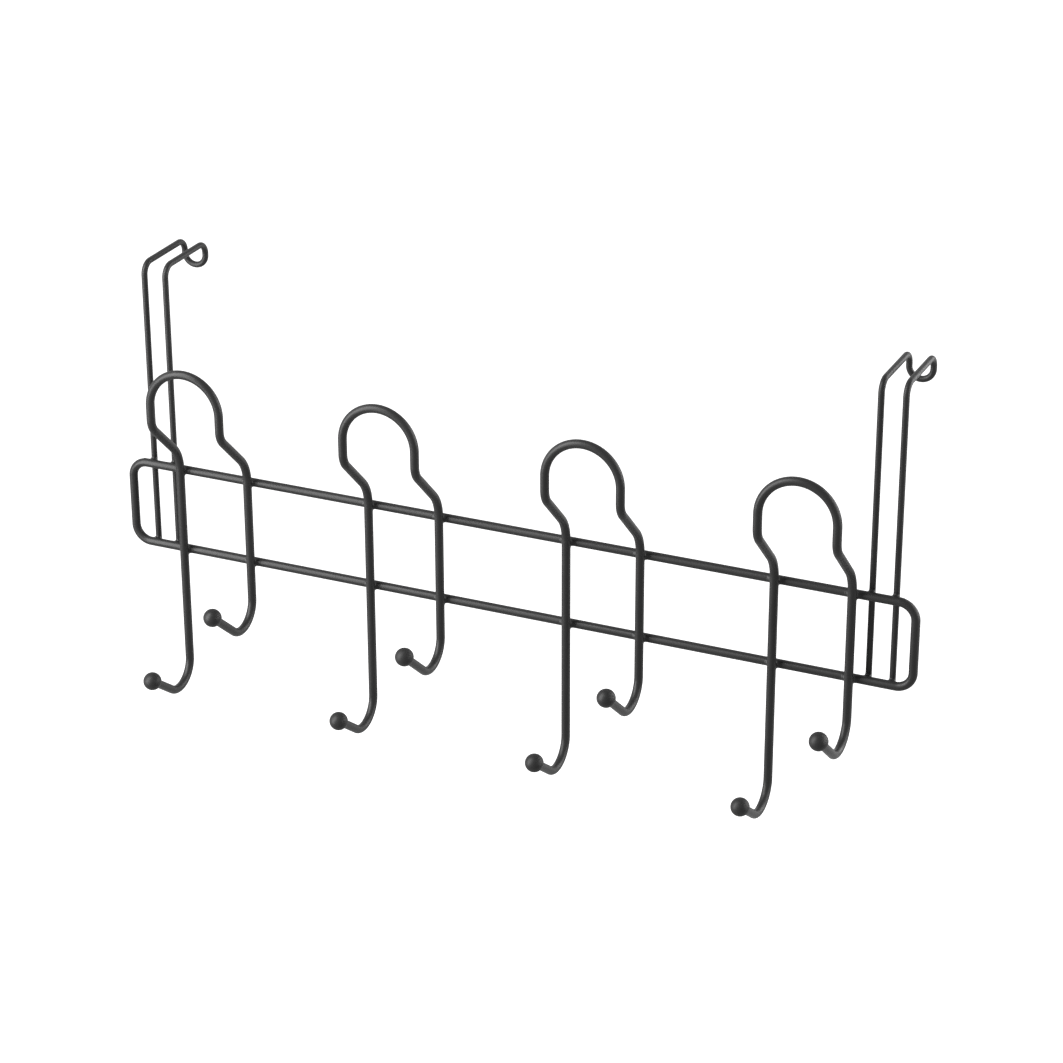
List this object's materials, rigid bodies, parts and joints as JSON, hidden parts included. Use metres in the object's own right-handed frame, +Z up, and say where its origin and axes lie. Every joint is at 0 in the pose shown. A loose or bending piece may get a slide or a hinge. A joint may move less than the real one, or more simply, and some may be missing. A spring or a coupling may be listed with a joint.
{
  "type": "over door hook",
  "caption": "Welded wire rack that hangs over a door's top: a ring of two rails carries double hooks with ball ends and forward-stepped arches.",
  "frame": {"origin": "the door's top front edge, midway between the hangers: where the plane behind the hangers' uprights meets the plane under the wires that cross the door", "axes": "+X along the rails to the right as seen from the front, +Y through the door to its back, +Z up; the hooks point to -Y"},
  "size_m": [0.5, 0.1119, 0.2684],
  "materials": {
    "wire_finish": "satin black powder coat",
    "ball_finish": "matt black powder coat"
  },
  "bodies": {
    "root": {"rail_ring": "wire_finish", "double_hook_1": "wire_finish", "double_hook_2": "wire_finish", "double_hook_3": "wire_finish", "double_hook_4": "wire_finish", "long_leg_ball_1": "ball_finish", "long_leg_ball_2": "ball_finish", "long_leg_ball_3": "ball_finish", "long_leg_ball_4": "ball_finish", "short_leg_ball_1": "ball_finish", "short_leg_ball_2": "ball_finish", "short_leg_ball_3": "ball_finish", "short_leg_ball_4": "ball_finish", "door_hanger_left": "wire_finish", "door_hanger_right": "wire_finish"}
  },
  "joints": []
}
